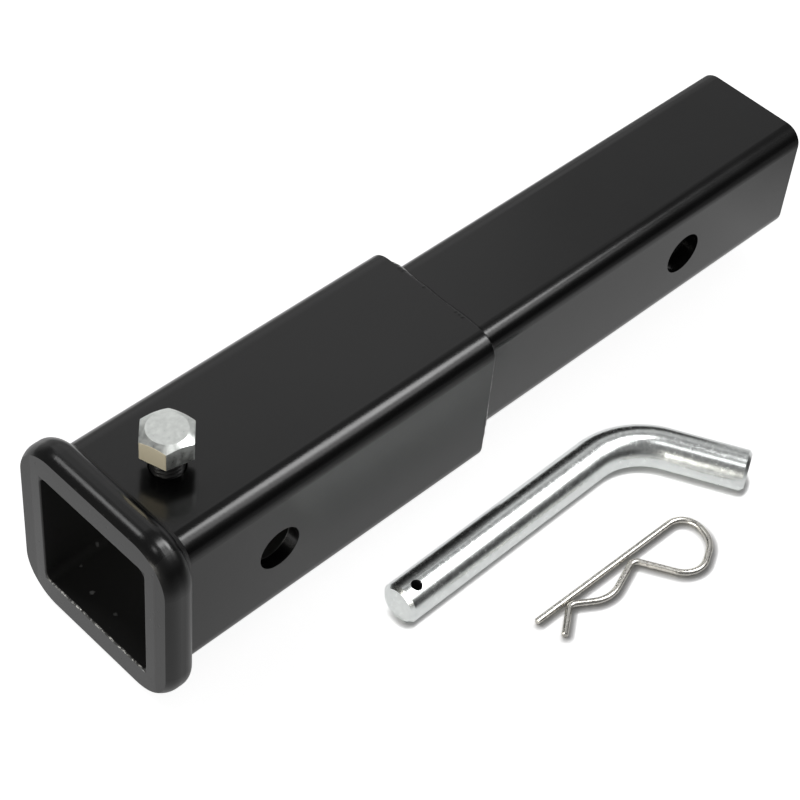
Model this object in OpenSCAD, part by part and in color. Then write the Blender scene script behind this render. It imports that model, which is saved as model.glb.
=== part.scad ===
// Extender for a square hitch receiver. A hollow square shank goes into the receiver and a larger square
// sleeve, welded over its inner end, takes the next shank. A raised ring is welded round the sleeve's mouth,
// and a set bolt in the sleeve's roof takes up the play. The bent hitch pin and its clip lie beside it.
// The tube runs along X with its mouth at -X. The origin is on the axis of the shank's pin hole.

/* [Shank] */
// Width of the square shank across its flats
shank_w = 50.8; // [44:0.1:60]
// Thickness of the shank's wall
shank_wall = 6.35; // [4:0.05:8]
// Outside radius of the shank's long corners
shank_corner = 7.5; // [6:0.5:11]
// Bare length of the shank, from the sleeve's rear end to its free end
shank_bare_len = 180; // [120:1:320]
// Length of the shank that sits inside the sleeve
shank_seat = 30; // [15:1:45]
// From the shank's free end to the axis of its pin hole
shank_setback = 66; // [35:1:90]

/* [Sleeve] */
// Length of the sleeve from mouth to rear end
sleeve_len = 155.4; // [130:0.1:240]
// Thickness of the sleeve's wall
sleeve_wall = 5.25; // [4.5:0.05:8]
// Outside radius of the sleeve's long corners
sleeve_corner = 8.5; // [6:0.5:10]
// Radius of the bore's long corners
bore_corner = 3.2; // [2:0.1:4]
// Gap on each side between the sleeve's bore and a shank in it
socket_gap = 1.1; // [0.2:0.05:1.5]
// From the mouth to the axis of the sleeve's pin hole
mouth_setback = 54.4; // [50:0.1:68]
// Rounding of the mouth's inner edge
mouth_round = 0.6; // [0.3:0.1:2]
// Rounding of the tubes' sawn outer edges
saw_round = 0.6; // [0.2:0.1:1.2]

/* [Mouth ring] */
// Height of the ring over the sleeve's flats
ring_rise = 7; // [5.8:0.1:10]
// Length of the ring along the sleeve
ring_len = 12.8; // [10.8:0.1:18]
// Outside radius of the ring's long corners
ring_corner = 17.5; // [13:0.5:20]
// Rounding of the ring's front edge
ring_front_round = 7.7; // [4:0.1:9]
// How far the front face is ground back past the start of that rounding
ring_facing = 2.6; // [0.6:0.1:4]
// Rounding of the ring's back edge
ring_back_round = 5.6; // [1:0.1:6.8]

/* [Welds] */
// Leg of the bead behind the sleeve, along the shank
shank_bead = 4.4; // [3:0.1:9]
// Part of the sleeve's end face that the bead leaves bare
shank_bead_bare = 0.5; // [0.2:0.1:2]
// Leg of the bead behind the ring
ring_bead = 2.2; // [1:0.1:4]
// How far a bead's face swells past a flat one
bead_crown = 0.5; // [0.2:0.05:0.8]

/* [Set bolt] */
// Thread diameter of the set bolt
bolt_d = 12; // [8:0.5:14]
// Length of the bolt under its head
bolt_len = 13.3; // [10:0.1:30]
// Distance across the flats of the bolt's head
bolt_flats = 18; // [16:0.5:22]
// Height of the bolt's head
bolt_head = 9.2; // [6:0.1:12]
// Diameter of the flat on top of the head
bolt_crown_d = 14.4; // [11:0.1:15.5]
// Turn of the head about its own axis
bolt_turn = 47.5; // [0:0.5:60]
// From the mouth to the bolt's axis
bolt_setback = 32.2; // [30:0.1:34]
// How far the bolt's tip stays short of the sleeve's bore
bolt_tip_back = 0.5; // [0.1:0.1:2]

/* [Hitch pin] */
// Diameter of the hitch pin
pin_d = 15.9; // [12:0.1:19]
// Gap all round between the pin and the holes it goes through
pin_gap = 0.8; // [0.3:0.05:1.5]
// Straight length of the pin, from its tip to its bend
pin_straight = 101; // [80:1:150]
// Radius of the pin's bend along its middle line
pin_bend_r = 29; // [18:0.5:45]
// Angle of the pin's bend
pin_bend = 62; // [40:1:90]
// Straight length of the pin's handle after the bend
pin_handle = 31; // [15:1:60]
// Chamfer at both ends of the pin
pin_chamfer = 1.3; // [0.5:0.1:2.5]
// From the pin's tip to the axis of its clip hole
clip_hole_setback = 6.5; // [5:0.1:15]
// Turn of the clip hole about the pin, away from straight up
clip_hole_turn = 14; // [0:1:90]

/* [Spring clip] */
// Diameter of the clip's wire
wire_d = 2.5; // [2:0.1:3]
// Gap all round between the wire and the pin's clip hole
wire_gap = 0.75; // [0.3:0.05:1]
// Length of the straight leg, up to the first corner of the loop
clip_leg = 77.4; // [70:0.1:90]
// How far the loop's far corner leans back from the first one
loop_lean = 0.6; // [0:0.1:4]
// From the leg out to the loop's far corner
loop_far_out = 15.1; // [14.5:0.1:22]
// From the loop's first corner back to its last one
loop_last_back = 17.7; // [13:0.1:20]
// From the leg out to the loop's last corner
loop_last_out = 24.7; // [23.5:0.1:36]
// From the leg's open end to the neck between loop and belly
neck_at = 46.5; // [40:0.1:54]
// Gap between the leg and the wire at the neck
neck_gap = 0.7; // [0.2:0.1:4]
// From the leg's open end to the belly's corner
belly_at = 27.5; // [23:0.1:36]
// From the leg's open end to the lip in front of the belly
lip_at = 14.5; // [8:0.1:19]
// How far the wire at the lip would dip into the leg, were the clip pressed flat
lip_dip = 0.3; // [0:0.1:0.8]
// From the leg's open end to the tip of the flared free end
tail_at = 3.3; // [0:0.1:8]
// From the leg out to the tip of the flared free end
tail_out = 10.6; // [6:0.1:20]
// Inside radius of the loop's first bend, at the end of the leg
loop_first_bend = 6.4; // [4:0.1:6.8]
// Inside radius of the loop's far bend
loop_far_bend = 10.5; // [6:0.1:11.2]
// Inside radius of the loop's last bend, back towards the neck
loop_last_bend = 8.3; // [5:0.1:11]
// Inside radius of the two bends that pinch the pin
pinch_bend = 1.6; // [1:0.1:3]
// How far the belly's corner stands past the far side of the pin, before it is rounded off
belly_over = 1; // [0:0.1:2.5]
// How much larger the belly's inside radius is than the pin's
belly_ease = 4; // [1:0.1:8]

/* [Loose pieces beside the tube] */
// From the ring's side to the pin's axis
pin_aside = 20.9; // [14:0.1:60]
// From the mouth to the pin's tip
pin_along = 85.7; // [20:0.1:120]
// Turn of the pin in plan
pin_yaw = 0.7; // [-5:0.1:5]
// From the pin's axis to the clip's straight leg
clip_aside = 34; // [20:0.5:60]
// From the pin's tip to the clip's open end
clip_along = 35.6; // [20:0.1:45]
// Turn of the clip in plan
clip_yaw = -1; // [-5:0.1:5]

/* [Hidden] */
$fn = 96;
// Overlap that keeps a cut clear of the faces it goes through
cut = 1;
// Overlap where a straight and a bend of one rod join
joint_lap = 0.05;
// Running gap between the bolt's thread and its tapped hole
thread_gap = 0.05;
// Slope of the chamfer on the bolt's head
head_slope = 30;
// Countersink of the tapped hole
tap_sink = 0.6;
// Chamfer at the bolt's tip
bolt_tip_chamfer = 1;
// Chamfer at the ends of the clip's wire
wire_chamfer = 0.3;
// Number of flat faces across the crown of a bead
bead_faces = 6;

bore_w = shank_w + 2 * socket_gap;
sleeve_w = bore_w + 2 * sleeve_wall;
ring_w = sleeve_w + 2 * ring_rise;
hollow_corner = max(shank_corner - shank_wall, 1.6);
pin_hole_d = pin_d + 2 * pin_gap;
clip_hole_d = wire_d + 2 * wire_gap;

shank_end = shank_setback;
sleeve_rear = shank_end - shank_bare_len;
shank_inner_end = sleeve_rear - shank_seat;
mouth = sleeve_rear - sleeve_len;
bolt_stand = bolt_len - (sleeve_wall - bolt_tip_back);
floor_level = -ring_w / 2;

// Corners of the clip's middle line in its own plane: along the leg, and away from it towards the belly
clip_belly = pin_d / 2 + wire_d / 2 + belly_over;
clip_route = [
    [0, 0],
    [clip_leg, 0],
    [clip_leg - loop_lean, loop_far_out],
    [clip_leg - loop_last_back, loop_last_out],
    [neck_at, wire_d + neck_gap],
    [belly_at, clip_belly],
    [lip_at, wire_d - lip_dip],
    [tail_at, tail_out]
];
belly_bend = pin_d / 2 + belly_ease;
clip_bends = [loop_first_bend, loop_far_bend, loop_last_bend, pinch_bend, belly_bend, pinch_bend];

black_paint = [0.09, 0.09, 0.1];
zinc = [0.78, 0.8, 0.83];
nickel = [0.8, 0.78, 0.74];

// Direction of the line from a to b, in degrees
function heading(a, b) = atan2(b[1] - a[1], b[0] - a[0]);

// Signed turn at b on the way from a to c, left positive
function turn(a, b, c) =
    let (t = heading(b, c) - heading(a, b))
    t > 180 ? t - 360 : t < -180 ? t + 360 : t;

// Length that a bend of this radius takes from each side of the corner b
function bend_setback(a, b, c, radius) = radius * tan(abs(turn(a, b, c)) / 2);

// Points of a shallow arc from p to q, with its middle pushed out to the left by rise
function shallow_arc(p, q, rise, steps) = [
    for (i = [0 : steps])
        let (t = i / steps, along = q - p, out = [-along[1], along[0]] / norm(along))
        p + along * t + out * rise * 4 * t * (1 - t)
];

// Square outline with round corners
module rounded_square(w, r) {
    square([w, w - 2 * r], center = true);
    square([w - 2 * r, w], center = true);
    for (x = [-1, 1])
        for (y = [-1, 1])
            translate([x * (w / 2 - r), y * (w / 2 - r)])
                circle(r);
}

// Solid square bar with round corners from one place to another along X
module square_bar(w, r, from, to) {
    translate([from, 0, 0])
        rotate([0, 90, 0])
            linear_extrude(to - from)
                rounded_square(w, r);
}

// Carries a section round a rounded square of width w that starts at one place along X.
// The section's x is the distance outwards from the square, and its y runs along +X.
module square_ring(w, r, from) {
    flat = w / 2 - r;
    translate([from, 0, 0])
        rotate([0, 90, 0])
            for (side = [0 : 3])
                rotate(90 * side) {
                    translate([flat, flat, 0])
                        rotate_extrude(angle = 90)
                            translate([r, 0])
                                children();
                    translate([w / 2, flat, 0])
                        rotate([90, 0, 0])
                            linear_extrude(2 * flat)
                                children();
                }
}

// Section that rounds off an outer edge at y = 0, to be cut away
module outer_edge_section(r) {
    difference() {
        translate([-r, -cut])
            square([r + cut, r + cut]);
        translate([-r, r])
            circle(r);
    }
}

// Section that rounds off a bore's edge at y = 0, to be cut away
module bore_edge_section(r) {
    difference() {
        translate([-cut, -cut])
            square([r + cut, r + cut]);
        translate([r, r])
            circle(r);
    }
}

// Hole for the hitch pin across the tube at x
module pin_hole(x) {
    translate([x, 0, 0])
        rotate([90, 0, 0])
            cylinder(h = sleeve_w + 2 * cut, d = pin_hole_d, center = true);
}

// Straight length of rod along Z from z = 0, with a chamfer at either end
module rod_length(length, d, first_chamfer, last_chamfer) {
    translate([0, 0, first_chamfer])
        cylinder(h = length - first_chamfer - last_chamfer, d = d);
    if (first_chamfer > 0)
        cylinder(h = first_chamfer, d1 = d - 2 * first_chamfer, d2 = d);
    if (last_chamfer > 0)
        translate([0, 0, length - last_chamfer])
            cylinder(h = last_chamfer, d1 = d, d2 = d - 2 * last_chamfer);
}

// Rod of diameter d along a route in the XY plane, bent at its corners, with chamfered ends.
// The radius of each bend is measured along the rod's middle line. A bend is a hair thicker than
// the straights, which run a hair into it, so that the pieces join as one solid.
module bent_rod(route, bends, d, chamfer) {
    last = len(route) - 1;
    taken = [
        for (i = [0 : last])
            i == 0 || i == last
                ? 0
                : bend_setback(route[i - 1], route[i], route[i + 1], bends[i - 1]) - joint_lap
    ];
    for (i = [0 : last - 1]) {
        way = heading(route[i], route[i + 1]);
        translate(route[i] + taken[i] * [cos(way), sin(way)])
            rotate([0, 90, way])
                rod_length(
                    norm(route[i + 1] - route[i]) - taken[i] - taken[i + 1],
                    d,
                    i == 0 ? chamfer : 0,
                    i == last - 1 ? chamfer : 0
                );
    }
    for (i = [1 : last - 1]) {
        way = heading(route[i - 1], route[i]);
        bend = turn(route[i - 1], route[i], route[i + 1]);
        side = sign(bend);
        start = route[i] - (taken[i] + joint_lap) * [cos(way), sin(way)];
        translate(start + bends[i - 1] * side * [-sin(way), cos(way)])
            rotate(side > 0 ? way - 90 : way + 90 + bend)
                rotate_extrude(angle = abs(bend))
                    translate([bends[i - 1], 0])
                        circle(d = d + joint_lap);
    }
}

// Hollow square tube that goes into the vehicle's receiver
module shank_tube() {
    color(black_paint)
        difference() {
            square_bar(shank_w, shank_corner, shank_inner_end, shank_end);
            square_bar(shank_w - 2 * shank_wall, hollow_corner, shank_inner_end - cut, shank_end + cut);
            pin_hole(0);
            mirror([1, 0, 0])
                square_ring(shank_w, shank_corner, -shank_end)
                    outer_edge_section(saw_round);
        }
}

// Larger square tube whose bore takes the next shank
module sleeve_tube() {
    color(black_paint)
        difference() {
            square_bar(sleeve_w, sleeve_corner, mouth, sleeve_rear);
            square_bar(bore_w, bore_corner, mouth - cut, sleeve_rear + cut);
            square_ring(bore_w, bore_corner, mouth)
                bore_edge_section(mouth_round);
            mirror([1, 0, 0])
                square_ring(sleeve_w, sleeve_corner, -sleeve_rear)
                    outer_edge_section(saw_round);
            pin_hole(mouth + mouth_setback);
            translate([mouth + bolt_setback, 0, 0])
                tapped_hole();
        }
}

// Hole for the set bolt through the sleeve's roof, with a small countersink
module tapped_hole() {
    roof = sleeve_w / 2;
    tapped_d = bolt_d + 2 * thread_gap;
    cylinder(h = roof + cut, d = tapped_d);
    translate([0, 0, roof - tap_sink])
        cylinder(h = tap_sink + cut, d1 = tapped_d, d2 = tapped_d + 2 * (tap_sink + cut));
}

// Section of the mouth ring, outwards from the ring's own outside: a round front edge that the ground face
// cuts off short, and a round back
module mouth_ring_section() {
    depth = ring_rise + cut;
    front_middle = ring_front_round - ring_facing;
    back_middle = ring_len - ring_back_round;
    intersection() {
        translate([-depth, 0])
            square([depth, ring_len]);
        union() {
            translate([-depth - ring_front_round, 0])
                square([depth, back_middle]);
            translate([-depth, front_middle])
                square([depth, back_middle - front_middle]);
            translate([-depth - ring_back_round, 0])
                square([depth, ring_len]);
            translate([-ring_front_round, front_middle])
                circle(ring_front_round);
            translate([-ring_back_round, back_middle])
                circle(ring_back_round);
        }
    }
}

// Raised ring that stiffens the sleeve's mouth
module mouth_ring() {
    color(black_paint)
        difference() {
            square_ring(ring_w, ring_corner, mouth)
                mouth_ring_section();
            square_bar(sleeve_w, sleeve_corner, mouth - cut, mouth + ring_len + cut);
        }
}

// Section of a weld bead in a corner, with a leg out from the tube, a leg along it and a swollen face
module bead_section(leg_out, leg_along, crown) {
    polygon(concat([[0, 0]], shallow_arc([leg_out, 0], [0, leg_along], -crown, bead_faces)));
}

// Bead between the ring's back and the sleeve
module ring_weld() {
    color(black_paint)
        square_ring(sleeve_w, sleeve_corner, mouth + ring_len)
            bead_section(min(ring_bead, ring_rise - ring_back_round), ring_bead, 0);
}

// Bead between the sleeve's rear end and the shank
module shank_weld() {
    color(black_paint)
        square_ring(shank_w, shank_corner, sleeve_rear)
            bead_section(socket_gap + sleeve_wall - saw_round - shank_bead_bare, shank_bead, bead_crown);
}

// Set bolt that presses on the shank in the sleeve, backed off so that its tip is clear of the bore
module set_bolt() {
    corner_d = bolt_flats / cos(30);
    color(zinc)
        translate([mouth + bolt_setback, 0, sleeve_w / 2 + bolt_stand]) {
            intersection() {
                rotate(bolt_turn)
                    cylinder(h = bolt_head, d = corner_d, $fn = 6);
                union() {
                    drop = (corner_d - bolt_crown_d) / 2 * tan(head_slope);
                    cylinder(h = bolt_head - drop, d = corner_d);
                    translate([0, 0, bolt_head - drop])
                        cylinder(h = drop, d1 = corner_d, d2 = bolt_crown_d);
                }
            }
            translate([0, 0, bolt_tip_chamfer - bolt_len])
                cylinder(h = bolt_len - bolt_tip_chamfer, d = bolt_d);
            translate([0, 0, -bolt_len])
                cylinder(h = bolt_tip_chamfer, d1 = bolt_d - 2 * bolt_tip_chamfer, d2 = bolt_d);
        }
}

// Places a loose piece flat on the floor, its own X axis along the tube and its own -Y side away from it
module beside(along, aside, lift, yaw) {
    translate([mouth + along, -(ring_w / 2 + aside), floor_level + lift])
        rotate(yaw)
            children();
}

// Bent pin that holds the extender or the shank in it, drilled across near its tip for the clip
module hitch_pin() {
    corner = pin_straight + pin_bend_r * tan(pin_bend / 2);
    handle = pin_handle + pin_bend_r * tan(pin_bend / 2);
    pin_route = [[0, 0], [corner, 0], [corner + handle * cos(pin_bend), -handle * sin(pin_bend)]];
    color(zinc)
        beside(pin_along, pin_aside, pin_d / 2, pin_yaw)
            difference() {
                bent_rod(pin_route, [pin_bend_r], pin_d, pin_chamfer);
                translate([clip_hole_setback, 0, 0])
                    rotate([clip_hole_turn, 0, 0])
                        cylinder(h = pin_d + 2 * cut, d = clip_hole_d, center = true);
            }
}

// Clip bent from spring wire: a straight leg for the pin's clip hole, a loop, and a belly that grips the pin
module spring_clip() {
    color(nickel)
        beside(pin_along + clip_along, pin_aside + clip_aside, wire_d / 2, clip_yaw)
            mirror([0, 1, 0])
                bent_rod(clip_route, [for (inside = clip_bends) inside + wire_d / 2], wire_d, wire_chamfer);
}

shank_tube();
sleeve_tube();
mouth_ring();
ring_weld();
shank_weld();
set_bolt();
hitch_pin();
spring_clip();
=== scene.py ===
"""Dresses the hitch receiver extender, its hitch pin and its spring clip, and lights them on a pale floor."""

import logging
import math
import random
from collections.abc import Callable
from dataclasses import dataclass, field
from enum import Enum

import bpy
from mathutils import Matrix, Vector


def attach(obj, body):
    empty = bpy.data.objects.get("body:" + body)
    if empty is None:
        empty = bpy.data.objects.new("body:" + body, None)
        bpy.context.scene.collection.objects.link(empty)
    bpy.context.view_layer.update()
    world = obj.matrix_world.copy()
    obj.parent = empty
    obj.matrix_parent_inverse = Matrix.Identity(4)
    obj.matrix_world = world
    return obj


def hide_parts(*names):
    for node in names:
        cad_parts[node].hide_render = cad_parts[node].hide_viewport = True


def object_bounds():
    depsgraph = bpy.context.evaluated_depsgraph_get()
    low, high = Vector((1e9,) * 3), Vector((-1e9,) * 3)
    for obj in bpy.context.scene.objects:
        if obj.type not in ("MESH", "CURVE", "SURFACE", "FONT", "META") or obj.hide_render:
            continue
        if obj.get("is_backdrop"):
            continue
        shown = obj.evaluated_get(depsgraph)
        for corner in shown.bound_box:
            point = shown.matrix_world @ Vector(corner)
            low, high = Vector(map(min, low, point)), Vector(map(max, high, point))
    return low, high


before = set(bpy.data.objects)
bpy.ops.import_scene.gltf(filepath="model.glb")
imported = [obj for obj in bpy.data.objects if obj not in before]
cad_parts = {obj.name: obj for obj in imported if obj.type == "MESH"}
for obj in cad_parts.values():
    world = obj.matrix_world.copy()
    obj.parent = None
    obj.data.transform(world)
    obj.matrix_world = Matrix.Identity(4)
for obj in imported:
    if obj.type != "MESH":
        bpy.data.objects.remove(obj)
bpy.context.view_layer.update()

MM = 0.001
# Numbers of a Mix node's colour sockets, which share their names with its other sockets.
MIX_FIRST = 6
MIX_SECOND = 7
MIX_RESULT = 2
# A face looks up where its normal rises more than this.
UPWARD = 0.9
log = logging.getLogger("hitch_extender")


class Slot(Enum):
    """Material slots of the record."""

    PAINT = "black_paint"
    BOLT = "bolt_zinc"
    PIN = "pin_zinc"
    CLIP = "clip_nickel"


class Body(Enum):
    """Rigid bodies of the extender."""

    EXTENDER = "extender"
    BOLT = "set_bolt"


class Socket(Enum):
    """Kinds of socket on a node group."""

    VALUE = "NodeSocketFloat"
    COLOR = "NodeSocketColor"
    VECTOR = "NodeSocketVector"


@dataclass
class NodeSheet:
    """A node tree that is being filled, with short ways to add its nodes."""

    tree: bpy.types.NodeTree

    def add(self, kind: str, **settings: object) -> bpy.types.Node:
        """Adds a node.

        Args:
            kind: Blender's name for the node's type.
            settings: properties to set on the node.

        Returns:
            The new node.
        """
        node = self.tree.nodes.new(kind)
        for name, value in settings.items():
            setattr(node, name, value)
        return node

    def feed(self, value: object, socket: bpy.types.NodeSocket) -> None:
        """Links another node's output to a socket, or sets a plain value on it.

        Args:
            value: the output or the plain value.
            socket: the input that takes it.
        """
        if isinstance(value, bpy.types.NodeSocket):
            self.tree.links.new(value, socket)
        else:
            socket.default_value = value

    def coordinates(self) -> bpy.types.NodeSocket:
        """Gives the Object coordinates of the piece that wears the material."""
        node = self.tree.nodes.get("Texture Coordinate") or self.add("ShaderNodeTexCoord")
        return node.outputs["Object"]

    def split(self, vector: bpy.types.NodeSocket) -> list[bpy.types.NodeSocket]:
        """Splits a vector or colour output into its three numbers.

        Args:
            vector: the output.

        Returns:
            The outputs of the three numbers.
        """
        node = self.add("ShaderNodeSeparateXYZ")
        self.feed(vector, node.inputs[0])
        return list(node.outputs)

    def place(self, group: bpy.types.NodeTree, **values: object) -> bpy.types.Node:
        """Puts a shared group on the sheet, fed with Object coordinates where it takes a vector.

        Args:
            group: the shared group.
            values: input name, with underscores for spaces, to value or output.

        Returns:
            The group's node.
        """
        node = self.add("ShaderNodeGroup", node_tree=group)
        if "Vector" in node.inputs:
            self.feed(self.coordinates(), node.inputs["Vector"])
        for name, value in values.items():
            self.feed(value, node.inputs[name.replace("_", " ")])
        return node

    def mask(self, group: bpy.types.NodeTree, **values: object) -> bpy.types.NodeSocket:
        """Puts a shared group on the sheet and gives its mask."""
        return self.place(group, **values).outputs["Mask"]

    def math(self, operation: str, first: object, second: object = 0.0) -> bpy.types.NodeSocket:
        """Adds a Math node.

        Args:
            operation: the node's operation.
            first: first value or output.
            second: second value or output.

        Returns:
            The node's output.
        """
        node = self.add("ShaderNodeMath", operation=operation)
        self.feed(first, node.inputs[0])
        self.feed(second, node.inputs[1])
        return node.outputs[0]

    def product(self, first: object, second: object) -> bpy.types.NodeSocket:
        """Multiplies two values."""
        return self.math("MULTIPLY", first, second)

    def along(self, x: object, y: object, azimuth: float) -> bpy.types.NodeSocket:
        """Measures how far a place lies along a level direction.

        Args:
            x: the place's first coordinate.
            y: the place's second coordinate.
            azimuth: the direction in degrees.

        Returns:
            The distance along it.
        """
        angle = math.radians(azimuth)
        return self.math("ADD", self.product(x, math.cos(angle)), self.product(y, math.sin(angle)))

    def noise(self, vector: object, scale: object, detail: float = 3.0) -> bpy.types.NodeSocket:
        """Adds a noise texture.

        Args:
            vector: coordinates.
            scale: how many lumps there are per metre.
            detail: octaves.

        Returns:
            The noise value.
        """
        node = self.add("ShaderNodeTexNoise")
        self.feed(vector, node.inputs["Vector"])
        self.feed(scale, node.inputs["Scale"])
        self.feed(detail, node.inputs["Detail"])
        return node.outputs[0]

    def ramp(
        self, value: object, low: object, high: object, to_low: object, to_high: object
    ) -> bpy.types.NodeSocket:
        """Maps a value from one span to another, and holds it inside the second.

        Args:
            value: what is mapped.
            low: start of the first span.
            high: end of the first span.
            to_low: start of the second span.
            to_high: end of the second span.

        Returns:
            The mapped value.
        """
        node = self.add("ShaderNodeMapRange", clamp=True)
        for index, item in enumerate((value, low, high, to_low, to_high)):
            self.feed(item, node.inputs[index])
        return node.outputs[0]

    def levels(self, value: object, stops: tuple[tuple[float, float], ...]) -> bpy.types.NodeSocket:
        """Maps a value through grey levels, straight between one stop and the next.

        Args:
            value: what is mapped.
            stops: rising pairs of value and level.

        Returns:
            The level.
        """
        low, high = stops[0][0], stops[-1][0]
        node = self.add("ShaderNodeValToRGB")
        self.feed(self.ramp(value, low, high, 0.0, 1.0), node.inputs[0])
        elements = node.color_ramp.elements
        while len(elements) < len(stops):
            elements.new(0.5)
        for element, (at, level) in zip(elements, stops):
            element.position = (at - low) / (high - low)
            element.color = (level, level, level, 1.0)
        return node.outputs[0]

    def mix(self, mask: object, first: object, second: object) -> bpy.types.NodeSocket:
        """Mixes two colours.

        Args:
            mask: 0 gives the first colour and 1 the second.
            first: colour or output.
            second: colour or output.

        Returns:
            The mixed colour.
        """
        node = self.add("ShaderNodeMix", data_type="RGBA")
        self.feed(mask, node.inputs[0])
        self.feed(first, node.inputs[MIX_FIRST])
        self.feed(second, node.inputs[MIX_SECOND])
        return node.outputs[MIX_RESULT]

    def bump(self, height: object, distance: float) -> bpy.types.NodeSocket:
        """Adds a Bump node.

        Args:
            height: height value.
            distance: depth in metres.

        Returns:
            The normal.
        """
        node = self.add("ShaderNodeBump")
        node.inputs["Distance"].default_value = distance
        self.feed(height, node.inputs["Height"])
        return node.outputs["Normal"]


def new_group(
    name: str, inputs: dict[str, tuple[Socket, object]], outputs: dict[str, Socket]
) -> tuple[bpy.types.NodeTree, NodeSheet, bpy.types.Node, bpy.types.Node]:
    """Starts a shader node group.

    Args:
        name: name of the group.
        inputs: socket name to its kind and default value.
        outputs: socket name to its kind.

    Returns:
        The group, a NodeSheet on it, its input node and its output node.
    """
    group = bpy.data.node_groups.new(name, "ShaderNodeTree")
    for label, (kind, value) in inputs.items():
        socket = group.interface.new_socket(label, in_out="INPUT", socket_type=kind.value)
        socket.default_value = value
    for label, kind in outputs.items():
        group.interface.new_socket(label, in_out="OUTPUT", socket_type=kind.value)
    sheet = NodeSheet(group)
    return group, sheet, sheet.add("NodeGroupInput"), sheet.add("NodeGroupOutput")


def fine_texture_group() -> bpy.types.NodeTree:
    """Makes the group that gives a surface its fine lumps and cloudy changes of gloss.

    Returns:
        The group.
    """
    group, sheet, given, result = new_group(
        "Fine Texture",
        {
            "Vector": (Socket.VECTOR, (0.0, 0.0, 0.0)),
            "Lump Scale": (Socket.VALUE, 900.0),
            "Cloud Scale": (Socket.VALUE, 40.0),
        },
        {"Height": Socket.VALUE, "Cloud": Socket.VALUE},
    )
    lumps = sheet.noise(given.outputs["Vector"], given.outputs["Lump Scale"], 2.0)
    clouds = sheet.noise(given.outputs["Vector"], given.outputs["Cloud Scale"], 4.0)
    sheet.feed(lumps, result.inputs["Height"])
    sheet.feed(clouds, result.inputs["Cloud"])
    return group


def speck_group() -> bpy.types.NodeTree:
    """Makes the group that scatters small specks or pits with ragged outlines.

    Returns:
        The group.
    """
    group, sheet, given, result = new_group(
        "Specks",
        {
            "Vector": (Socket.VECTOR, (0.0, 0.0, 0.0)),
            "Scale": (Socket.VALUE, 300.0),
            "Amount": (Socket.VALUE, 0.1),
        },
        {"Mask": Socket.VALUE},
    )
    ragged_factor = 3.0
    largest_reach = 0.5
    solid_share = 0.6
    cells = sheet.add("ShaderNodeTexVoronoi", feature="F1")
    ragged_scale = sheet.product(given.outputs["Scale"], ragged_factor)
    ragged = sheet.noise(given.outputs["Vector"], ragged_scale, 2.0)
    sheet.feed(given.outputs["Vector"], cells.inputs["Vector"])
    sheet.feed(given.outputs["Scale"], cells.inputs["Scale"])
    chosen = sheet.math("LESS_THAN", sheet.split(cells.outputs["Color"])[0], given.outputs["Amount"])
    reach = sheet.product(ragged, largest_reach)
    near = sheet.ramp(cells.outputs["Distance"], sheet.product(reach, solid_share), reach, 1.0, 0.0)
    sheet.feed(sheet.product(chosen, near), result.inputs["Mask"])
    return group


def bar_grain_group() -> bpy.types.NodeTree:
    """Makes the group for the long fine grain that drawing leaves along a bar.

    Returns:
        The group.
    """
    group, sheet, given, result = new_group(
        "Bar Grain",
        {
            "Vector": (Socket.VECTOR, (0.0, 0.0, 0.0)),
            "Across Scale": (Socket.VALUE, 1600.0),
            "Along Scale": (Socket.VALUE, 120.0),
        },
        {"Grain": Socket.VALUE, "Mottle": Socket.VALUE},
    )
    mottle_share = 0.35
    stretched = sheet.add("ShaderNodeCombineXYZ")
    scales = ("Along Scale", "Across Scale", "Across Scale")
    for part, scale, socket in zip(sheet.split(given.outputs["Vector"]), scales, stretched.inputs):
        sheet.feed(sheet.product(part, given.outputs[scale]), socket)
    grain = sheet.noise(stretched.outputs[0], 1.0)
    mottle = sheet.noise(given.outputs["Vector"], sheet.product(given.outputs["Across Scale"], mottle_share))
    sheet.feed(grain, result.inputs["Grain"])
    sheet.feed(mottle, result.inputs["Mottle"])
    return group


def span_mask_group() -> bpy.types.NodeTree:
    """Makes the group that is 1 where a coordinate lies between two values, with soft ends.

    Returns:
        The group.
    """
    group, sheet, given, result = new_group(
        "Span Mask",
        {
            "Coordinate": (Socket.VALUE, 0.0),
            "From": (Socket.VALUE, -1.0),
            "To": (Socket.VALUE, 1.0),
            "Blend": (Socket.VALUE, 0.0002),
        },
        {"Mask": Socket.VALUE},
    )
    value, low, high, blend = (given.outputs[name] for name in ("Coordinate", "From", "To", "Blend"))
    entry = sheet.ramp(value, low, sheet.math("ADD", low, blend), 0.0, 1.0)
    leave = sheet.ramp(value, sheet.math("SUBTRACT", high, blend), high, 1.0, 0.0)
    sheet.feed(sheet.product(entry, leave), result.inputs["Mask"])
    return group


@dataclass
class Effects:
    """The node groups that the finishes share."""

    fine_texture: bpy.types.NodeTree = field(default_factory=fine_texture_group)
    specks: bpy.types.NodeTree = field(default_factory=speck_group)
    bar_grain: bpy.types.NodeTree = field(default_factory=bar_grain_group)
    span_mask: bpy.types.NodeTree = field(default_factory=span_mask_group)


@dataclass(frozen=True)
class Look:
    """What a finish gives its shader: plain values or node outputs."""

    color: object
    roughness: object
    height: object
    metallic: object = 0.0


def shaded(color: tuple[float, float, float], share: float = 1.0) -> tuple[float, float, float, float]:
    """Gives a colour at a share of its brightness, with an alpha of 1."""
    return (*(min(part * share, 1.0) for part in color), 1.0)


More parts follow.
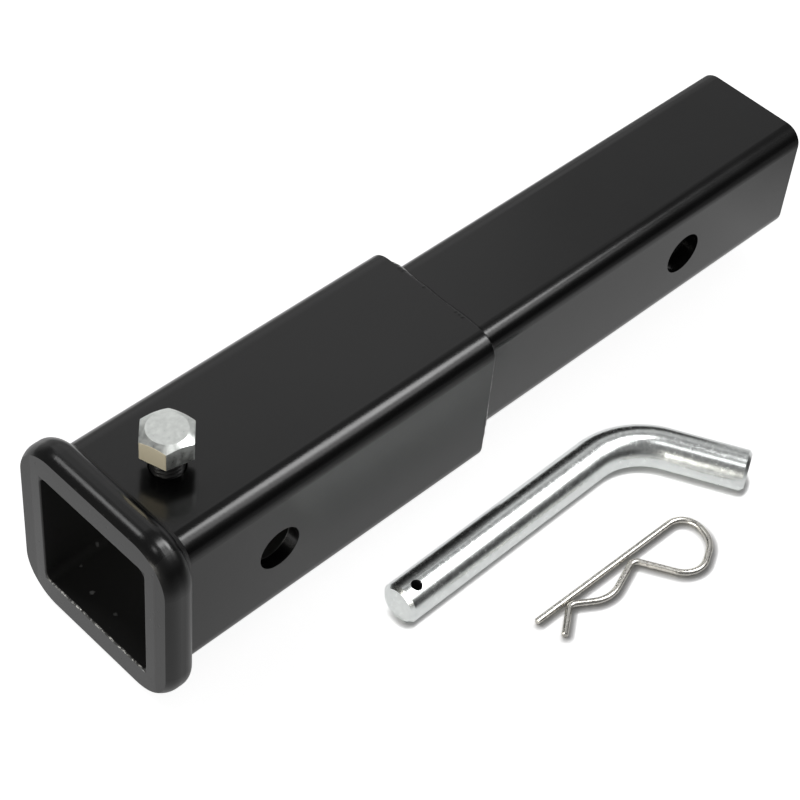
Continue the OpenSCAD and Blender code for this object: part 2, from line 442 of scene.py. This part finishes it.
@dataclass(frozen=True)
class Finish:
    """What every finish holds: its name, its plain values and the depth of its bumps in metres."""

    name: str
    color: tuple[float, float, float]
    roughness: float
    depth: float = 0.00002

    def look(self, sheet: NodeSheet, effects: Effects) -> Look:
        """Gives the finish's values and outputs, which each kind of finish makes in its own way."""
        raise NotImplementedError

    def material(self, effects: Effects) -> bpy.types.Material:
        """Builds the material.

        Args:
            effects: the shared node groups.

        Returns:
            The material.
        """
        material = bpy.data.materials.new(self.name)
        material.use_nodes = True
        sheet = NodeSheet(material.node_tree)
        shader = material.node_tree.nodes["Principled BSDF"]
        look = self.look(sheet, effects)
        sheet.feed(look.color, shader.inputs["Base Color"])
        sheet.feed(look.roughness, shader.inputs["Roughness"])
        sheet.feed(look.metallic, shader.inputs["Metallic"])
        sheet.feed(sheet.bump(look.height, self.depth), shader.inputs["Normal"])
        return material


@dataclass(frozen=True)
class BlackPaint(Finish):
    """Glossy black coat over steel, with a faint orange peel and cloudy gloss."""

    lump_scale: float = 700.0
    cloud_scale: float = 28.0
    tone_span: tuple[float, float] = (0.35, 0.65)
    tones: tuple[float, float] = (0.8, 1.3)
    gloss_span: tuple[float, float] = (0.3, 0.7)
    gloss_spread: tuple[float, float] = (0.85, 1.2)

    def look(self, sheet: NodeSheet, effects: Effects) -> Look:
        """Gives the coat's clouded colour and gloss and its peel.

        Args:
            sheet: the material's node sheet.
            effects: the shared node groups.

        Returns:
            The coat's look.
        """
        texture = sheet.place(effects.fine_texture, Lump_Scale=self.lump_scale, Cloud_Scale=self.cloud_scale)
        cloud = texture.outputs["Cloud"]
        tone = sheet.ramp(cloud, *self.tone_span, 0.0, 1.0)
        color = sheet.mix(tone, *(shaded(self.color, share) for share in self.tones))
        low, high = (self.roughness * share for share in self.gloss_spread)
        roughness = sheet.ramp(cloud, *self.gloss_span, low, high)
        return Look(color, roughness, texture.outputs["Height"])


@dataclass(frozen=True)
class SleevePaint(BlackPaint):
    """The same coat on the sleeve and its ring, with pits in front, painted light in the bore that grows with
    depth, pale specks in the bore and a worn lip.
    """

    front: float = -0.2694
    bore_half: float = 0.0265
    bore_margin: float = 0.0004
    bore_depth: float = 0.05
    # Painted light: the bore's colour and its shares at the mouth and deep inside stand in for light that
    # reaches the bore.
    bore_lit_color: tuple[float, float, float] = (0.03, 0.03, 0.029)
    bore_light_shares: tuple[float, float] = (0.35, 4.0)
    bore_roughness: float = 0.5
    steel: tuple[float, float, float] = (0.5, 0.5, 0.49)
    # Pale specks in the bore: their scale, amount and share of the steel colour.
    speck_scale: float = 210.0
    speck_amount: float = 0.06
    speck_share: float = 0.8
    pit_scale: float = 420.0
    pit_amount: float = 0.16
    pit_factor: float = 14.0
    face_reach: float = 0.0004
    lip_reach: float = 0.0007
    lip_top: float = 0.0003
    lip_scale: float = 600.0
    lip_wear: tuple[float, float, float, float] = (0.45, 0.62, 0.15, 1.0)
    side: float = 0.03175
    side_blend: float = 0.001
    side_roughness: float = 0.33

    def inside(self, sheet: NodeSheet, effects: Effects, x: bpy.types.NodeSocket) -> bpy.types.NodeSocket:
        """Gives the bore's colour: painted light, dark at the mouth and paler with depth, with pale specks.

        Args:
            sheet: the material's node sheet.
            effects: the shared node groups.
            x: the coordinate along the tube.

        Returns:
            The colour.
        """
        pale_specks = sheet.mask(effects.specks, Scale=self.speck_scale, Amount=self.speck_amount)
        # Painted light: the bore grows paler with depth.
        depth_light = sheet.ramp(x, self.front, self.front + self.bore_depth, 0.0, 1.0)
        lit_bore = sheet.mix(depth_light, *(shaded(self.bore_lit_color, share) for share in self.bore_light_shares))
        return sheet.mix(pale_specks, lit_bore, shaded(self.steel, self.speck_share))

    def lip(
        self, sheet: NodeSheet, effects: Effects, x: object, width: object, z: object
    ) -> bpy.types.NodeSocket:
        """Masks the worn lip under the mouth, where bare steel shows.

        Args:
            sheet: the material's node sheet.
            effects: the shared node groups.
            x: the coordinate along the tube.
            width: the distance from the tube's middle plane.
            z: the height.

        Returns:
            The mask.
        """
        edge = sheet.mask(effects.span_mask, Coordinate=x, To=self.front + self.lip_reach)
        low, high = -self.bore_half - self.lip_reach, -self.bore_half + self.lip_top
        under = sheet.mask(effects.span_mask, Coordinate=z, From=low, To=high)
        within = sheet.mask(effects.span_mask, Coordinate=width, To=self.bore_half)
        broken = sheet.ramp(sheet.noise(sheet.coordinates(), self.lip_scale), *self.lip_wear)
        return sheet.product(sheet.product(sheet.product(edge, under), broken), within)

    def look(self, sheet: NodeSheet, effects: Effects) -> Look:
        """Adds the pits, the bore and the lip to the plain coat.

        Args:
            sheet: the material's node sheet.
            effects: the shared node groups.

        Returns:
            The look of the sleeve and its ring.
        """
        coat = super().look(sheet, effects)
        span = effects.span_mask
        x, y, z = sheet.split(sheet.coordinates())
        width = sheet.math("ABSOLUTE", y)
        reach = sheet.math("MAXIMUM", width, sheet.math("ABSOLUTE", z))
        bore = sheet.mask(span, Coordinate=reach, To=self.bore_half + self.bore_margin)
        lip = self.lip(sheet, effects, x, width, z)
        painted = sheet.mix(bore, coat.color, self.inside(sheet, effects, x))
        side = sheet.mask(span, Coordinate=width, From=self.side - self.side_blend, Blend=self.side_blend)
        roughness = sheet.ramp(side, 0.0, 1.0, coat.roughness, self.side_roughness)
        roughness = sheet.ramp(bore, 0.0, 1.0, roughness, self.bore_roughness)
        face = sheet.mask(span, Coordinate=x, To=self.front + self.face_reach)
        pits = sheet.mask(effects.specks, Scale=self.pit_scale, Amount=self.pit_amount)
        hollow = sheet.product(sheet.product(face, pits), self.pit_factor)
        height = sheet.math("SUBTRACT", coat.height, hollow)
        return Look(sheet.mix(lip, painted, shaded(self.steel)), roughness, height, lip)


@dataclass(frozen=True)
class ZincPlate(Finish):
    """Bright plating over steel, with grain along a bar or a mottle on a forged head."""

    along_scale: float = 120.0
    gloss_spread: tuple[float, float] = (0.8, 1.25)
    gloss_span: tuple[float, float] = (0.3, 0.7)
    tone_span: tuple[float, float] = (0.35, 0.7)
    tones: tuple[float, float] = (0.88, 1.06)

    def look(self, sheet: NodeSheet, effects: Effects) -> Look:
        """Gives the plating's mottled colour and gloss and its grain.

        Args:
            sheet: the material's node sheet.
            effects: the shared node groups.

        Returns:
            The plating's look.
        """
        grain = sheet.place(effects.bar_grain, Along_Scale=self.along_scale)
        mottle = grain.outputs["Mottle"]
        tone = sheet.ramp(mottle, *self.tone_span, 0.0, 1.0)
        color = sheet.mix(tone, *(shaded(self.color, share) for share in self.tones))
        low, high = (self.roughness * share for share in self.gloss_spread)
        roughness = sheet.ramp(mottle, *self.gloss_span, low, high)
        return Look(color, roughness, grain.outputs["Grain"], 1.0)


@dataclass(frozen=True)
class BoltPlate(ZincPlate):
    """The bolt's plating: bright on the head, and near-black on the thread below it."""

    head_bottom: float = 0.0403
    axis: float = -0.2372
    flats: float = 0.018
    # Painted light: the one flat that faces the warm card gets a warm tint for the warm light on it; it is
    # also rougher.
    lit_flat_azimuth: float = 197.5
    warm_light_tint: tuple[float, float, float] = (0.82, 0.76, 0.6)
    lit_flat_roughness: float = 0.56
    flat_margin: float = 0.0002
    flat_blend: float = 0.0001
    # Near-black colour and metallic level of the thread below the head.
    dark_thread: tuple[float, float, float] = (0.02, 0.02, 0.02)
    dark_thread_metallic: float = 0.2

    def look(self, sheet: NodeSheet, effects: Effects) -> Look:
        """Adds the near-black thread to the plating, and painted light: a warm tint on the one flat that
        faces the warm card.

        Args:
            sheet: the material's node sheet.
            effects: the shared node groups.

        Returns:
            The bolt's look.
        """
        plate = super().look(sheet, effects)
        x, y, z = sheet.split(sheet.coordinates())
        thread = sheet.mask(effects.span_mask, Coordinate=z, To=self.head_bottom)
        reach = sheet.along(sheet.math("SUBTRACT", x, self.axis), y, self.lit_flat_azimuth)
        begin = self.flats / 2 - self.flat_margin
        flat = sheet.mask(effects.span_mask, Coordinate=reach, From=begin, Blend=self.flat_blend)
        # Painted light: a warm tint on the flat that faces the warm card.
        head = sheet.mix(flat, plate.color, shaded(self.warm_light_tint))
        roughness = sheet.ramp(flat, 0.0, 1.0, plate.roughness, self.lit_flat_roughness)
        metallic = sheet.ramp(thread, 0.0, 1.0, 1.0, self.dark_thread_metallic)
        return Look(sheet.mix(thread, head, shaded(self.dark_thread)), roughness, plate.height, metallic)


def dress(piece: bpy.types.Object, material: bpy.types.Material) -> None:
    """Gives a piece its finish.

    Args:
        piece: a CAD node's object or a new piece.
        material: its finish.
    """
    piece.data.materials.clear()
    piece.data.materials.append(material)


def start_piece(name: str) -> bpy.types.Object:
    """Names the primitive that was just added and puts its place in its mesh.

    Args:
        name: the piece's name.

    Returns:
        The piece.
    """
    piece = bpy.context.active_object
    piece.name = name
    bpy.ops.object.transform_apply(location=True, rotation=True, scale=True)
    return piece


def apply_modifiers(piece: bpy.types.Object) -> None:
    """Applies all of a piece's modifiers in order.

    Args:
        piece: the piece.
    """
    bpy.context.view_layer.objects.active = piece
    for modifier in list(piece.modifiers):
        bpy.ops.object.modifier_apply(modifier=modifier.name)


def deselect() -> None:
    """Leaves nothing selected, because an operator acts on all that is."""
    bpy.ops.object.select_all(action="DESELECT")


def edit_part(piece: bpy.types.Object, kind: str, chosen: Callable[[object], bool]) -> None:
    """Goes into edit mode with only the chosen faces or edges selected.

    Args:
        piece: the active piece.
        kind: FACE or EDGE.
        chosen: says whether a face or edge is selected.
    """
    bpy.ops.object.mode_set(mode="EDIT")
    bpy.ops.mesh.select_mode(type=kind)
    bpy.ops.mesh.select_all(action="DESELECT")
    bpy.ops.object.mode_set(mode="OBJECT")
    for part in piece.data.polygons if kind == "FACE" else piece.data.edges:
        part.select = chosen(part)
    bpy.ops.object.mode_set(mode="EDIT")


@dataclass
class WeldBead:
    """The rippled bead between the sleeve's rear end and the shank."""

    shank_half: float = 25.4 * MM
    shank_corner: float = 7.5 * MM
    sleeve_rear: float = -114.0 * MM
    out: float = 2.55 * MM
    back: float = 1.1 * MM
    pitch: float = 1.8 * MM
    ripple: tuple[float, float, float] = (4.5 * MM, 2.2 * MM, 2.0 * MM)
    lean: float = 55.0
    variation: float = 0.05
    sway: float = 0.11
    largest: float = 1.05
    seed: int = 7
    waves: tuple[int, int] = (5, 13)
    wave_shift: float = 1.0
    segments: int = 20
    rings: int = 12
    voxel: float = 0.4 * MM
    smooth_factor: float = 0.5
    smooth_rounds: int = 4

    def places(self) -> list[tuple[Vector, Vector]]:
        """Gives the ripples' centres round the shank.

        Returns:
            Pairs of a centre and the direction that points out from the shank there.
        """
        flat = self.shank_half - self.shank_corner
        radius = self.shank_corner + self.out
        side, bend = 2 * flat, radius * math.pi / 2
        count = round(4 * (side + bend) / self.pitch)
        result = []
        for index in range(count):
            quarter, along = divmod(index * 4 * (side + bend) / count, side + bend)
            if along < side:
                spot, way = Vector((0.0, flat + radius, along - flat)), Vector((0.0, 1.0, 0.0))
            else:
                angle = (along - side) / radius
                way = Vector((0.0, math.cos(angle), math.sin(angle)))
                spot = Vector((0.0, flat, flat)) + way * radius
            turn = Matrix.Rotation(quarter * math.pi / 2, 3, "X")
            result.append((turn @ spot + Vector((self.sleeve_rear + self.back, 0.0, 0.0)), turn @ way))
        return result

    def swell(self, index: int, count: int) -> float:
        """Gives the slow change of size round the bead at one of its ripples, from -1 to 1."""
        few, many = (math.tau * waves * index / count for waves in self.waves)
        return (math.sin(few) + math.sin(many + self.wave_shift)) / 2

    def build(self, material: bpy.types.Material) -> None:
        """Models one ripple, sets copies of it round the shank and melts them together.

        Args:
            material: the bead's finish.
        """
        deselect()
        bpy.ops.mesh.primitive_uv_sphere_add(
            segments=self.segments, ring_count=self.rings, radius=1.0, scale=self.ripple
        )
        first = start_piece("weld_ripple")
        chance = random.Random(self.seed)
        copies = []
        ahead = Vector((1.0, 0.0, 0.0))
        lean = math.radians(self.lean)
        places = self.places()
        for index, (centre, way) in enumerate(places):
            copy = first.copy()
            copy.data = first.data.copy()
            bpy.context.scene.collection.objects.link(copy)
            slope = ahead * math.cos(lean) - way * math.sin(lean)
            normal = ahead * math.sin(lean) + way * math.cos(lean)
            swell = self.sway * self.swell(index, len(places))
            size = min(1.0 + swell + chance.uniform(-self.variation, self.variation), self.largest)
            turn = Matrix((slope, normal.cross(slope), normal)).transposed()
            copy.data.transform(Matrix.Translation(centre) @ (turn * size).to_4x4())
            copies.append(copy)
        bpy.data.objects.remove(first)
        for copy in copies:
            copy.select_set(True)
        bead = copies[0]
        bpy.context.view_layer.objects.active = bead
        bpy.ops.object.join()
        bead.name = "weld_bead"
        remesh = bead.modifiers.new("melt", "REMESH")
        remesh.mode = "VOXEL"
        remesh.voxel_size = self.voxel
        smooth = bead.modifiers.new("smooth", "SMOOTH")
        smooth.factor = self.smooth_factor
        smooth.iterations = self.smooth_rounds
        apply_modifiers(bead)
        bpy.ops.object.shade_smooth()
        dress(bead, material)
        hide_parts("shank_weld")
        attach(bead, Body.EXTENDER.value)
        log.info("weld bead built")


@dataclass
class Tube:
    """The welded tube: shank, sleeve, mouth ring and both welds."""

    paint: BlackPaint = BlackPaint("black paint", (0.006, 0.006, 0.0062), 0.2, 0.000012)
    mouth_paint: SleevePaint = SleevePaint("sleeve paint", (0.006, 0.006, 0.0062), 0.2, 0.000012)
    weld_paint: BlackPaint = BlackPaint("weld paint", (0.006, 0.006, 0.0062), 0.42, 0.00003, 350.0)
    bead: WeldBead = field(default_factory=WeldBead)

    def build(self, effects: Effects) -> None:
        """Dresses the tube's nodes and builds the bead at its weld.

        Args:
            effects: the shared node groups.
        """
        paint = self.paint.material(effects)
        mouth_paint = self.mouth_paint.material(effects)
        dress(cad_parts["shank_tube"], paint)
        dress(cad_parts["ring_weld"], self.weld_paint.material(effects))
        for node in ("sleeve_tube", "mouth_ring"):
            dress(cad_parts[node], mouth_paint)
        self.bead.build(paint)
        log.info("tube dressed")


@dataclass
class SetBolt:
    """The hex-headed bolt in the sleeve's roof: a chamfered head and a screw thread."""

    axis: float = -237.2 * MM
    head_bottom: float = 40.3 * MM
    head: float = 9.2 * MM
    flats: float = 18.0 * MM
    crown: float = 14.4 * MM
    turn: float = 47.5
    slope: float = 30.0
    half_flat: float = 30.0
    edge_round: float = 0.35 * MM
    edge_segments: int = 3
    body_sides: int = 96
    near: float = 0.1 * MM
    length: float = 13.3 * MM
    thread: float = 12.0 * MM
    root: float = 10.4 * MM
    pitch: float = 1.75 * MM
    tip: float = 1.0 * MM
    sides: int = 40
    turn_steps: int = 10
    crest_gain: float = 1.25
    sharp_angle: float = 25.0
    plate: BoltPlate = BoltPlate("bolt zinc", (0.9, 0.93, 0.9), 0.34, 0.00001, along_scale=1600.0)

    def build_head(self) -> bpy.types.Object:
        """Cuts a six-sided prism with a turned body that has the chamfer.

        Returns:
            The head.
        """
        corner = self.flats / 2 / math.cos(math.radians(self.half_flat))
        middle = (self.axis, 0.0, self.head_bottom + self.head / 2)
        top = self.head_bottom + self.head
        deselect()
        turn = math.radians(self.turn - self.half_flat)
        bpy.ops.mesh.primitive_cylinder_add(
            vertices=6, radius=corner, depth=self.head, location=middle, rotation=(0.0, 0.0, turn)
        )
        prism = start_piece("set_bolt_head")
        heights = [vertex.co.z for vertex in prism.data.vertices]
        edit_part(
            prism, "EDGE", lambda edge: abs(heights[edge.vertices[0]] - heights[edge.vertices[1]]) > MM
        )
        bpy.ops.mesh.bevel(offset=self.edge_round, segments=self.edge_segments)
        bpy.ops.object.mode_set(mode="OBJECT")
        prism.select_set(False)
        bpy.ops.mesh.primitive_cylinder_add(
            vertices=self.body_sides, radius=corner, depth=self.head, location=middle
        )
        turned = start_piece("turned_body")
        edit_part(turned, "FACE", lambda face: face.normal.z > UPWARD)
        rim = corner - self.crown / 2
        bpy.ops.mesh.inset(thickness=rim)
        bpy.ops.object.mode_set(mode="OBJECT")
        drop = rim * math.tan(math.radians(self.slope))
        for vertex in turned.data.vertices:
            away = math.hypot(vertex.co.x - self.axis, vertex.co.y)
            if vertex.co.z > top - self.near and away > corner - self.near:
                vertex.co.z -= drop
        turned.select_set(False)
        prism.select_set(True)
        cut = prism.modifiers.new("chamfer", "BOOLEAN")
        cut.operation = "INTERSECT"
        cut.object = turned
        apply_modifiers(prism)
        bpy.data.objects.remove(turned)
        return prism

    def build_thread(self) -> bpy.types.Object:
        """Draws a short cylinder up ring by ring and moves its points onto a screw thread.

        Returns:
            The threaded shaft.
        """
        step = self.pitch / self.turn_steps
        rings = round(self.length / step)
        bottom = self.head_bottom - self.length
        rise = self.length / rings
        deselect()
        start = (self.axis, 0.0, bottom + rise / 2)
        bpy.ops.mesh.primitive_cylinder_add(
            vertices=self.sides, radius=self.thread / 2, depth=rise, location=start
        )
        shaft = start_piece("set_bolt_thread")
        edit_part(shaft, "FACE", lambda face: face.normal.z > UPWARD)
        for _ in range(rings - 1):
            bpy.ops.mesh.extrude_region_move(TRANSFORM_OT_translate={"value": (0.0, 0.0, rise)})
        bpy.ops.object.mode_set(mode="OBJECT")
        for vertex in shaft.data.vertices:
            x, y = vertex.co.x - self.axis, vertex.co.y
            above = vertex.co.z - bottom
            phase = (above / self.pitch - math.atan2(y, x) / math.tau) % 1.0
            crest = min(abs(2.0 * phase - 1.0) * self.crest_gain, 1.0)
            radius = self.root / 2 + crest * (self.thread - self.root) / 2
            radius = min(radius, self.thread / 2 - self.tip + above)
            away = math.hypot(x, y)
            vertex.co.x = self.axis + x / away * radius
            vertex.co.y = y / away * radius
        return shaft

    def build(self, effects: Effects) -> None:
        """Joins the head and the thread to one bolt.

        Args:
            effects: the shared node groups.
        """
        bolt, shaft = self.build_head(), self.build_thread()
        deselect()
        shaft.select_set(True)
        bolt.select_set(True)
        bpy.context.view_layer.objects.active = bolt
        bpy.ops.object.join()
        bolt.name = "hex_bolt"
        bpy.ops.object.shade_smooth_by_angle(angle=math.radians(self.sharp_angle))
        dress(bolt, self.plate.material(effects))
        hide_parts("set_bolt")
        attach(bolt, Body.BOLT.value)
        log.info("set bolt built")


@dataclass(frozen=True)
class PinPlate(ZincPlate):
    """The pin's plating, with painted shade inside its clip hole."""

    hole: tuple[float, float, float] = (-0.1772, -0.05957, -0.0308)
    hole_way: tuple[float, float, float] = (0.003, -0.2419, 0.9703)
    hole_radius: float = 0.002
    hole_margin: float = 0.0002
    hole_blend: float = 0.0001
    hole_roughness: float = 0.7
    shade: tuple[float, float, float] = (0.03, 0.03, 0.032)

    def vector(self, sheet: NodeSheet, operation: str, first: object, second: object) -> bpy.types.Node:
        """Adds a Vector Math node.

        Args:
            sheet: the material's node sheet.
            operation: the node's operation.
            first: first vector or output.
            second: second vector or output.

        Returns:
            The node.
        """
        node = sheet.add("ShaderNodeVectorMath", operation=operation)
        sheet.feed(first, node.inputs[0])
        sheet.feed(second, node.inputs[1])
        return node

    def look(self, sheet: NodeSheet, effects: Effects) -> Look:
        """Adds painted shade in the clip hole to the plating.

        Args:
            sheet: the material's node sheet.
            effects: the shared node groups.

        Returns:
            The pin's look.
        """
        plate = super().look(sheet, effects)
        offset = self.vector(sheet, "SUBTRACT", sheet.coordinates(), self.hole).outputs[0]
        across = self.vector(sheet, "CROSS_PRODUCT", offset, self.hole_way).outputs[0]
        away = self.vector(sheet, "DISTANCE", across, (0.0, 0.0, 0.0)).outputs["Value"]
        reach = self.hole_radius + self.hole_margin
        hole = sheet.mask(effects.span_mask, Coordinate=away, To=reach, Blend=self.hole_blend)
        roughness = sheet.ramp(hole, 0.0, 1.0, plate.roughness, self.hole_roughness)
        metallic = sheet.ramp(hole, 0.0, 1.0, 1.0, 0.0)
        return Look(sheet.mix(hole, plate.color, shaded(self.shade)), roughness, plate.height, metallic)


@dataclass
class Hardware:
    """The loose hitch pin and its spring clip."""

    pin: PinPlate = PinPlate(
        "pin zinc", (0.91, 0.94, 0.93), 0.25, 0.0000038, gloss_spread=(0.88, 1.12)
    )
    clip: ZincPlate = ZincPlate("clip nickel", (0.76, 0.74, 0.69), 0.28, 0.000001, 300.0, (0.9, 1.1))

    def build(self, effects: Effects) -> None:
        """Dresses the pin and the clip.

        Args:
            effects: the shared node groups.
        """
        dress(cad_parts["hitch_pin"], self.pin.material(effects))
        dress(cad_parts["spring_clip"], self.clip.material(effects))
        log.info("hardware dressed")


@dataclass(frozen=True)
class Softbox:
    """A flat lamp at a place, which faces a point and has its width along a direction."""

    name: str
    place: tuple[float, float, float]
    along: tuple[float, float, float]
    width: float
    height: float
    radiance: float
    aim: tuple[float, float, float] = (-0.1, 0.0, 0.0)
    color: tuple[float, float, float] = (1.0, 1.0, 1.0)
    lights_floor: bool = True

    def build(self) -> None:
        """Adds the lamp."""
        away = (Vector(self.place) - Vector(self.aim)).normalized()
        side = Vector(self.along)
        side = (side - away * side.dot(away)).normalized()
        data = bpy.data.lights.new(self.name, "AREA")
        data.shape = "RECTANGLE"
        data.size = self.width
        data.size_y = self.height
        data.energy = self.radiance * math.pi * self.width * self.height
        data.color = self.color
        lamp = bpy.data.objects.new(self.name, data)
        turn = Matrix((side, away.cross(side), away)).transposed()
        lamp.matrix_world = Matrix.Translation(self.place) @ turn.to_4x4()
        lamp.visible_camera = False
        lamp.visible_diffuse = self.lights_floor
        bpy.context.scene.collection.objects.link(lamp)


@dataclass
class Studio:
    """Camera, lamps, white surroundings and the pale floor."""

    camera_place: tuple[float, float, float] = (-0.5469, -0.37043, 0.58808)
    camera_aim: tuple[float, float, float] = (0.51068, 0.44971, -0.73278)
    camera_roll: float = 6.03
    lens: float = 100.94
    sensor: float = 36.0
    near_clip: float = 0.01
    floor_size: float = 12.0
    floor_drop: float = 0.00005
    floor_color: tuple[float, float, float] = (0.8, 0.8, 0.8)
    floor_roughness: float = 0.9
    surround: float = 0.18
    horizon: float = 0.5
    horizon_azimuth: float = 41.0
    horizon_span: tuple[float, float] = (0.5, 0.8)
    horizon_rise: tuple[float, float] = (0.25, 0.45)
    dark_side: float = 0.05
    dark_azimuth: float = -57.0
    dark_span: tuple[float, float] = (0.4, 0.7)
    dark_rise: tuple[float, float] = (0.35, 0.5)
    floor_glow: float = 0.9
    floor_lit: float = 0.275
    shade_reach: float = 0.0027
    shade_lean: tuple[float, float, float] = (0.0, 0.85, 0.53)
    shade_power: float = 4.0
    shade_samples: int = 8
    shade_from: tuple[float, float] = (-0.042, -0.048)
    gloss_by_y: tuple[tuple[float, float], ...] = (
        (-0.6, 0.2), (-0.34, 0.3), (-0.18, 0.4), (-0.11, 0.78), (-0.06, 0.82), (-0.02, 1.0), (0.0, 1.0)
    )
    gloss_by_x: tuple[tuple[float, float], ...] = (
        (-0.32, 0.72), (-0.25, 0.9), (-0.2, 1.0), (0.07, 1.0), (0.16, 0.35)
    )
    lamps: tuple[Softbox, ...] = (
        Softbox("back softbox", (0.51, 0.955, 0.95), (0.8, -0.6, 0.0), 0.8, 0.92, 0.6),
        Softbox("far softbox", (0.97, 0.61, 0.95), (0.8, -0.6, 0.0), 0.35, 0.95, 0.32),
        Softbox("right softbox", (0.31, -0.27, 0.9), (0.8, -0.6, 0.0), 0.46, 0.26, 9.0, lights_floor=False),
        Softbox("right spill", (0.38, -0.62, 0.88), (0.8, -0.6, 0.0), 0.55, 0.4, 2.4, lights_floor=False),
        Softbox("right fade", (0.6, -0.4, 0.88), (0.8, -0.6, 0.0), 0.16, 0.3, 0.6, lights_floor=False),
        Softbox("top lamp", (-0.3, -0.25, 0.9), (1.0, 0.0, 0.0), 0.22, 0.16, 3.0, lights_floor=False),
        Softbox("left softbox", (-0.29, 0.5, 0.9), (1.0, 0.0, 0.0), 0.25, 0.2, 5.2),
        Softbox(
            "warm card", (-0.95, -0.1, 0.2), (0.0, 1.0, 0.0), 0.7, 0.4, 6.0, color=(1.0, 0.97, 0.9),
            lights_floor=False,
        ),
    )

    def build_camera(self) -> None:
        """Adds the camera at the photograph's place and makes it the scene's."""
        ahead = Vector(self.camera_aim).normalized()
        level = ahead.cross(Vector((0.0, 0.0, 1.0))).normalized()
        over = level.cross(ahead)
        roll = math.radians(self.camera_roll)
        right = level * math.cos(roll) + over * math.sin(roll)
        up = right.cross(ahead)
        data = bpy.data.cameras.new("camera")
        data.lens = self.lens
        data.sensor_width = self.sensor
        data.clip_start = self.near_clip
        camera = bpy.data.objects.new("camera", data)
        turn = Matrix((right, up, -ahead)).transposed()
        camera.matrix_world = Matrix.Translation(self.camera_place) @ turn.to_4x4()
        bpy.context.scene.collection.objects.link(camera)
        bpy.context.scene.camera = camera

    def build_surround(self) -> None:
        """Sets a dim surround with a lighter band at the back, which the camera sees as plain white."""
        world = bpy.data.worlds.new("surround")
        bpy.context.scene.world = world
        world.use_nodes = True
        sheet = NodeSheet(world.node_tree)
        background = world.node_tree.nodes["Background"]
        x, y, z = sheet.split(sheet.coordinates())
        facing = sheet.ramp(sheet.along(x, y, self.horizon_azimuth), *self.horizon_span, 0.0, 1.0)
        band = sheet.product(facing, sheet.ramp(z, *self.horizon_rise, 1.0, 0.0))
        lit = sheet.ramp(band, 0.0, 1.0, self.surround, self.horizon)
        aside = sheet.ramp(sheet.along(x, y, self.dark_azimuth), *self.dark_span, 0.0, 1.0)
        dark = sheet.product(aside, sheet.ramp(z, *self.dark_rise, 1.0, 0.0))
        dim = sheet.math("SUBTRACT", lit, sheet.product(dark, self.surround - self.dark_side))
        path = sheet.add("ShaderNodeLightPath")
        seen = sheet.ramp(path.outputs["Is Camera Ray"], 0.0, 1.0, dim, 1.0)
        sheet.feed(seen, background.inputs["Strength"])
        background.inputs["Color"].default_value = (1.0, 1.0, 1.0, 1.0)

    def build_floor(self) -> None:
        """Lays the pale floor, which glows a little so that it shows white and keeps the lamps' shadows; its
        glow also carries painted shadow beside the pin and clip and painted light for reflections.
        """
        deselect()
        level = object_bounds()[0][2]
        bpy.ops.mesh.primitive_plane_add(size=self.floor_size, location=(0.0, 0.0, level - self.floor_drop))
        floor = start_piece("floor")
        material = bpy.data.materials.new("floor")
        material.use_nodes = True
        sheet = NodeSheet(material.node_tree)
        shader = material.node_tree.nodes["Principled BSDF"]
        shader.inputs["Base Color"].default_value = shaded(self.floor_color)
        shader.inputs["Roughness"].default_value = self.floor_roughness
        shader.inputs["Specular IOR Level"].default_value = 0.0
        shader.inputs["Emission Color"].default_value = (1.0, 1.0, 1.0, 1.0)
        path = sheet.add("ShaderNodeLightPath")
        x, y, _ = sheet.split(sheet.coordinates())
        # Painted light: for reflected rays the floor glows by place, brighter in some spots than in others.
        total = sheet.product(sheet.levels(y, self.gloss_by_y), sheet.levels(x, self.gloss_by_x))
        gloss = sheet.math("MAXIMUM", sheet.math("SUBTRACT", total, self.floor_lit), 0.0)
        # Painted shadow: ambient occlusion, leant toward +y, darkens the glow beside the pin and the clip.
        around = sheet.add("ShaderNodeAmbientOcclusion", samples=self.shade_samples)
        around.inputs["Distance"].default_value = self.shade_reach
        lean = sheet.add("ShaderNodeCombineXYZ")
        for number, socket in zip(self.shade_lean, lean.inputs):
            sheet.feed(number, socket)
        sheet.feed(lean.outputs[0], around.inputs["Normal"])
        beside = sheet.ramp(y, *self.shade_from, 0.0, 1.0)
        open_share = sheet.math("POWER", around.outputs["AO"], self.shade_power)
        covered = sheet.product(beside, sheet.math("SUBTRACT", 1.0, open_share))
        shade = sheet.math("SUBTRACT", 1.0, covered)
        seen = sheet.product(path.outputs["Is Camera Ray"], sheet.product(shade, self.floor_glow))
        mirrored = sheet.product(path.outputs["Is Glossy Ray"], sheet.product(shade, gloss))
        sheet.feed(sheet.math("ADD", seen, mirrored), shader.inputs["Emission Strength"])
        floor.data.materials.append(material)
        floor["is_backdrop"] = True

    def build(self) -> None:
        """Builds the whole studio."""
        bpy.context.scene.view_settings.view_transform = "Standard"
        self.build_camera()
        self.build_surround()
        self.build_floor()
        for lamp in self.lamps:
            lamp.build()
        log.info("studio built")


def main() -> None:
    """Builds the object's classes in order, then the studio."""
    logging.basicConfig(level=logging.INFO, format="%(name)s: %(message)s")
    effects = Effects()
    Tube().build(effects)
    SetBolt().build(effects)
    Hardware().build(effects)
    Studio().build()


if __name__ == "__main__":
    main()
